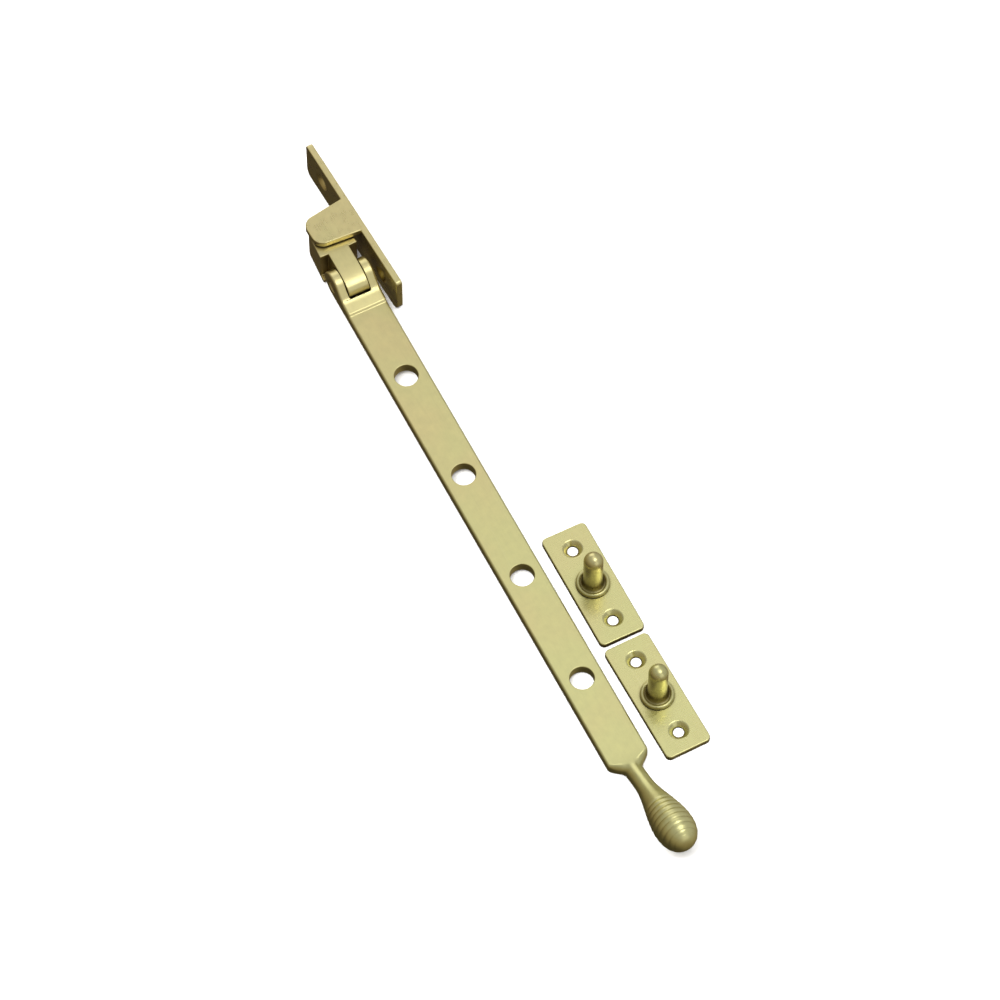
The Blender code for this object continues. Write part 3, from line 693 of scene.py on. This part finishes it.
def reed_stations():
    """(station, radius) along the rings, which are evenly spaced along the surface."""
    step = REED_PITCH / REED_STEPS
    last = REED_COUNT * REED_STEPS
    station, found = REED_START, []
    for k in range(last + 1):
        radius = plain_knob(station)
        slope = (plain_knob(station + step) - radius) / step
        turn = abs(sin(pi * k / REED_STEPS))
        depth = REED_DEPTH * (1 - REED_FADE * (k / last) ** REED_FADE_POWER)
        found.append((station, radius - depth * (1 - turn ** REED_FULLNESS)))
        station += step / (1 + slope * slope) ** 0.5
    return found


def handle_size(station):
    """(half width, half height) of the handle between the blade's end and the neck."""
    narrow = smooth_step((station - SHOULDER_START) / (SHOULDER_END - SHOULDER_START))
    half_width = ARM_WIDTH / 2 + (NECK_RADIUS - ARM_WIDTH / 2) * narrow
    grow = smooth_step((station - NECK_GROWTH_START) / (NECK_STATION - NECK_GROWTH_START))
    half_height = BLADE_THICKNESS / 2 + (NECK_RADIUS - BLADE_THICKNESS / 2) * grow
    return half_width, half_height


def arm_sections():
    """(x, z, slope, half width, half height, station) of every section, barrel to knob."""
    sections = []
    for x, low, high in fork_stations():
        sections.append((x, (low + high) / 2, 0.0, ARM_WIDTH / 2, (high - low) / 2, 0.0))
    shoulder = [NECK_STATION * k / SHOULDER_STEPS for k in range(SHOULDER_STEPS)]
    sizes = [(station, *handle_size(station)) for station in shoulder]
    neck = [NECK_STATION + (REED_START - NECK_STATION) * k / NECK_STEPS
            for k in range(NECK_STEPS)]
    rounds = [(station, plain_knob(station)) for station in neck] + reed_stations()
    start = asin((rounds[-1][0] - KNOB_STATION) / KNOB_END_LENGTH)
    for k in range(1, KNOB_END_STEPS + 1):
        angle = start + (KNOB_END_ANGLE - start) * k / KNOB_END_STEPS
        station = KNOB_STATION + KNOB_END_LENGTH * sin(angle)
        rounds.append((station, plain_knob(station)))
    sizes += [(station, radius, radius) for station, radius in rounds]
    for station, half_width, half_height in sizes:
        x, z, slope = handle_centre(station)
        sections.append((x, z, slope, half_width, half_height, station))
    return sections


def section_corners(half_width, half_height, station):
    """(across, up) of a section's upper corners, and of its lower ones.

    The blade's small round edges grow to half circles at the neck, the upper ones first.
    """
    edge = min(BLADE_EDGE, min(half_width, half_height) / 2)
    upper = smooth_step((station - RIDGE_START) / (RIDGE_END - RIDGE_START))
    lower = smooth_step((station - NECK_GROWTH_START) / (NECK_STATION - NECK_GROWTH_START))
    depth = 1 + (RIDGE_DEPTH - 1) * (1 - lower)
    top = (edge + (half_width - edge) * upper, edge + (half_height * depth - edge) * upper)
    foot = (edge + (half_width - edge) * lower, edge + (half_height - edge) * lower)
    return top, foot


def section_points(x, z, slope, half_width, half_height, station):
    """One cross-section: a rectangle with round corners, which ends up round."""
    top, foot = section_corners(half_width, half_height, station)
    across = Vector((0.0, 1.0, 0.0))
    up = Vector((-sin(slope), 0.0, cos(slope)))
    centre = Vector((x, 0.0, z))
    points = []
    for quarter, (side, level, corner) in enumerate(((1, 1, top), (-1, 1, top),
                                                     (-1, -1, foot), (1, -1, foot))):
        middle_y = side * (half_width - corner[0])
        middle_z = level * (half_height - corner[1])
        for u, v in arc((0.0, 0.0), 1.0, quarter * pi / 2, (quarter + 1) * pi / 2,
                        SECTION_CORNER_STEPS):
            y, w = middle_y + corner[0] * u, middle_z + corner[1] * v
            points.append(centre + across * y + up * w)
    return points


def arm_place():
    """The arm's own coordinates at rest: yawed on the swivel and tipped onto the surface."""
    tilt = asin((PIN.z - SURFACE_Z - BARREL_RADIUS - REST_CLEARANCE) / BLADE_END)
    return (Matrix.Translation(PIN) @ Matrix.Rotation(REST_YAW, 4, "Z")
            @ Matrix.Rotation(tilt, 4, "Y"))


def make_arm():
    """The arm in one piece: fork, perforated blade, neck and reeded knob."""
    arm = loft([section_points(*section) for section in arm_sections()])
    depth = 3 * BARREL_RADIUS
    corner, half_slot = FORK_SLOT_CORNER, SLOT_WIDTH / 2
    bottom = FORK_SLOT_DEPTH - corner
    slot = arc((bottom, corner - half_slot), corner, -pi / 2, 0.0, CORNER_STEPS)
    slot += arc((bottom, half_slot - corner), corner, 0.0, pi / 2, CORNER_STEPS)
    slot += [(-depth, half_slot), (-depth, -half_slot)]
    cut(arm, slab(slot, -depth, depth))
    cut(arm, placed(drill(PIN_RADIUS + GAP, -ARM_WIDTH, ARM_WIDTH), tip=pi / 2))
    for number in range(HOLE_COUNT):
        place = (FIRST_HOLE + number * HOLE_PITCH, 0.0, 0.0)
        cut(arm, placed(drill(HOLE_RADIUS, -depth, depth), place))
    round_edges(arm, FORGED_EDGE)
    as_piece(arm, "arm_forging", "arm", "stay_arm", ARM_BRASS, arm_place())


def make_pin():
    """The cross pin, riveted over into the fork's cheeks."""
    half = ARM_WIDTH / 2 - GAP
    pin = turned([(0.0, half), (PIN_RADIUS, half), (PIN_RADIUS, -half), (0.0, -half)])
    round_edges(pin, EDGE)
    placed(pin, tip=pi / 2)
    as_piece(pin, "hinge_pin_turned", "arm", "hinge_pin", RIVET_BRASS,
             arm_place())


# ---------------------------------------------------------------- stay pegs

def peg_place(number):
    """Where a peg stands: the middle of its plate, turned as it lies."""
    low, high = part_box(f"peg_plate_{number}")
    middle = (low + high) / 2
    turn = Matrix.Rotation(PEG_TURNS[number], 4, "Z")
    return Matrix.Translation((middle.x, middle.y, low.z)) @ turn


def make_peg_plate(number):
    """A peg's plate: two countersunk screw holes and a hole for the pin's spigot."""
    outline = rounded_rectangle(PEG_PLATE_LENGTH, PEG_PLATE_WIDTH, PEG_PLATE_CORNER)
    plate = slab(outline, 0.0, PEG_PLATE_THICKNESS)
    for side in (-1, 1):
        hole = drill(PEG_SCREW_RADIUS, -PEG_PLATE_THICKNESS, 2 * PEG_PLATE_THICKNESS,
                     PEG_COUNTERSINK_RADIUS, PEG_COUNTERSINK_DEPTH, face=PEG_PLATE_THICKNESS)
        cut(plate, placed(hole, (side * PEG_SCREW_SPACING / 2, 0.0, 0.0)))
    spigot_hole = drill(PEG_SPIGOT_RADIUS + GAP, -PEG_PLATE_THICKNESS, 2 * PEG_PLATE_THICKNESS)
    cut(plate, spigot_hole)
    round_edges(plate)
    as_piece(plate, f"peg_plate_pressing_{number}", f"peg_{number}", f"peg_plate_{number}",
             PEG_PLATE_BRASS, peg_place(number))


def peg_pin_profile():
    """The pin's outline, top to bottom: dome, shaft, cove, rolled collar and spigot."""
    collar_low = PEG_PLATE_THICKNESS + GAP
    collar_high = PEG_PLATE_THICKNESS + PEG_COLLAR_HEIGHT
    shaft, cove = PEG_SHAFT_RADIUS, PEG_COVE_RADIUS
    lip, rim = PEG_LIP_RADIUS, PEG_COLLAR_RADIUS
    dome = arc((0.0, PEG_TOP_HEIGHT - shaft), shaft, pi / 2, 0.0, DOME_STEPS)
    dome[0] = (0.0, PEG_TOP_HEIGHT)
    hollow = ellipse((cove, collar_high - 2 * GAP + PEG_COVE_HEIGHT), cove - shaft,
                     PEG_COVE_HEIGHT, pi, 1.5 * pi, COVE_STEPS)
    inner = ellipse((lip, collar_high - 2 * GAP), lip - cove, 2 * GAP, pi, pi / 2,
                    LIP_STEPS)[1:]
    outer = ellipse((lip, collar_low + GAP), rim - lip, collar_high - collar_low - GAP,
                    pi / 2, 0.0, RIM_STEPS)[1:]
    foot = [(rim, collar_low), (PEG_SPIGOT_RADIUS, collar_low), (PEG_SPIGOT_RADIUS, GAP),
            (0.0, GAP)]
    return dome + hollow + inner + outer + foot


def make_peg_pin(number):
    """A peg's turned pin, riveted into its plate by the spigot."""
    pin = turned(peg_pin_profile())
    as_piece(pin, f"peg_pin_turned_{number}", f"peg_{number}", f"peg_pin_{number}",
             PEG_PIN_BRASS, peg_place(number))


# ---------------------------------------------------------------- studio

CAMERA_TARGET = Vector((0.11425, -0.00819, SURFACE_Z))
CAMERA_AZIMUTH = radians(60.5)
CAMERA_ELEVATION = radians(61)
CAMERA_DISTANCE = 1.7544
CAMERA_SENSOR = 36.0
CAMERA_LENS = 187.96
CAMERA_REACH = 20.0

FLOOR_HALF_WIDTH = 6.0
FLOOR_THICKNESS = 0.02
FLOOR_CLEARANCE = 0.00005       # keeps the floor off the undersides that lie on it
FLOOR_ROUGHNESS = 0.9
FLOOR_TONES = (0.93, 0.96)
FLOOR_GLOW = 0.06
FIBRE_SCALE = 300.0             # fibres of the floor's paper a metre

SKY_BRIGHTEST = Vector((0.0, 0.50, 0.86))
SKY_STOPS = [                   # from opposite that direction, 0, to that direction, 1
    (0.00, (0.056, 0.046, 0.030, 1.0)),
    (0.12, (0.068, 0.055, 0.034, 1.0)),
    (0.30, (0.25, 0.20, 0.12, 1.0)),
    (0.50, (0.36, 0.32, 0.24, 1.0)),
    (0.75, (0.45, 0.45, 0.45, 1.0)),
    (1.00, (0.53, 0.53, 0.53, 1.0)),
]

KNOB_TARGET = (0.24, -0.02, 0.0)
SOFTBOXES = [                   # name, direction, distance, side, radiance, target, seen
    ("key_softbox", (0.26, 0.24, 0.935), 1.10, 0.50, 2.6, CAMERA_TARGET, True),
    ("front_softbox", (0.88, 0.20, 0.42), 1.20, 0.80, 0.35, CAMERA_TARGET, True),
    ("back_softbox", (-0.85, 0.24, 0.47), 1.20, 0.80, 0.80, CAMERA_TARGET, True),
    ("knob_softbox", (-0.42, 0.24, 0.87), 0.75, 0.34, 0.40, KNOB_TARGET, True),
    ("floor_fill", (0.10, -0.42, 0.90), 1.30, 0.60, 12.0, CAMERA_TARGET, False),
    ("overhead_fill", (0.0, 0.0, 1.0), 1.60, 1.60, 2.6, CAMERA_TARGET, False),
]


def aim(obj, target, direction, distance):
    """Stand a camera or light off a point in a direction, and face it to the point."""
    obj.location = target + direction * distance
    obj.rotation_euler = (-direction).to_track_quat("-Z", "Y").to_euler()


def make_camera():
    """A long lens that looks down on the stay."""
    data = bpy.data.cameras.new("camera")
    data.sensor_width = CAMERA_SENSOR
    data.lens = CAMERA_LENS
    data.clip_end = CAMERA_REACH
    camera = bpy.data.objects.new("camera", data)
    bpy.context.scene.collection.objects.link(camera)
    level = cos(CAMERA_ELEVATION)
    back = Vector((sin(CAMERA_AZIMUTH) * level, -cos(CAMERA_AZIMUTH) * level,
                   sin(CAMERA_ELEVATION)))
    aim(camera, CAMERA_TARGET, back, CAMERA_DISTANCE)
    bpy.context.scene.camera = camera


def make_floor():
    """A plain pale floor of paper, which doesn't show in the brass."""
    size = FLOOR_HALF_WIDTH
    corners = [(-size, -size), (size, -size), (size, size), (-size, size)]
    floor = slab(corners, SURFACE_Z - FLOOR_THICKNESS, SURFACE_Z - FLOOR_CLEARANCE)
    floor.name = "floor"
    floor.visible_glossy = False
    material = bpy.data.materials.new("floor_paper")
    material.use_nodes = True
    shader = material.node_tree.nodes["Principled BSDF"]
    shader.inputs["Roughness"].default_value = FLOOR_ROUGHNESS
    shader.inputs["Specular IOR Level"].default_value = 0.0
    shader.inputs["Emission Color"].default_value = (1.0, 1.0, 1.0, 1.0)
    shader.inputs["Emission Strength"].default_value = FLOOR_GLOW
    n = Nodes(material)
    place = n.add("ShaderNodeTexCoord").outputs["Object"]
    tone = n.stretch(n.noise(place, FIBRE_SCALE, 3.0), wanted=FLOOR_TONES)
    paper = n.add("ShaderNodeCombineColor", {"Red": tone, "Green": tone, "Blue": tone})
    n.link(paper.outputs["Color"], shader.inputs["Base Color"])
    floor.data.materials.append(material)


def make_sky():
    """The studio round the stay: brightest in one direction, dark and brown opposite it."""
    world = bpy.data.worlds.new("studio")
    world.use_nodes = True
    bpy.context.scene.world = world
    n = Nodes(world)
    background = world.node_tree.nodes["Background"]
    direction = n.add("ShaderNodeTexCoord").outputs["Generated"]
    facing = n.add("ShaderNodeVectorMath", {0: direction, 1: SKY_BRIGHTEST.normalized()},
                   operation="DOT_PRODUCT").outputs["Value"]
    ramp = n.add("ShaderNodeValToRGB", {"Fac": n.stretch(facing, found=(-1.0, 1.0))})
    stops = ramp.color_ramp.elements
    stops[0].position, stops[0].color = SKY_STOPS[0]
    stops[1].position, stops[1].color = SKY_STOPS[-1]
    for position, colour in SKY_STOPS[1:-1]:
        stops.new(position).color = colour
    n.link(ramp.outputs["Color"], background.inputs["Color"])
    background.inputs["Strength"].default_value = 1.0


def add_softbox(name, direction, distance, side, radiance, target, seen):
    """A square softbox of a given radiance, in a direction from the point that it faces.

    One that isn't seen in the brass only lights the floor.
    """
    data = bpy.data.lights.new(name, "AREA")
    data.shape = "SQUARE"
    data.size = side
    data.energy = radiance * pi * side * side
    light = bpy.data.objects.new(name, data)
    bpy.context.scene.collection.objects.link(light)
    aim(light, Vector(target), Vector(direction).normalized(), distance)
    light.visible_glossy = seen


# ---------------------------------------------------------------- the scene

make_camera()
make_floor()
make_sky()
for softbox in SOFTBOXES:
    add_softbox(*softbox)

make_bracket()
make_rivet()
make_washer()
make_knuckle()
make_arm()
make_pin()
for peg_number in PEG_TURNS:
    make_peg_plate(peg_number)
    make_peg_pin(peg_number)

bpy.context.scene.view_settings.view_transform = "Standard"
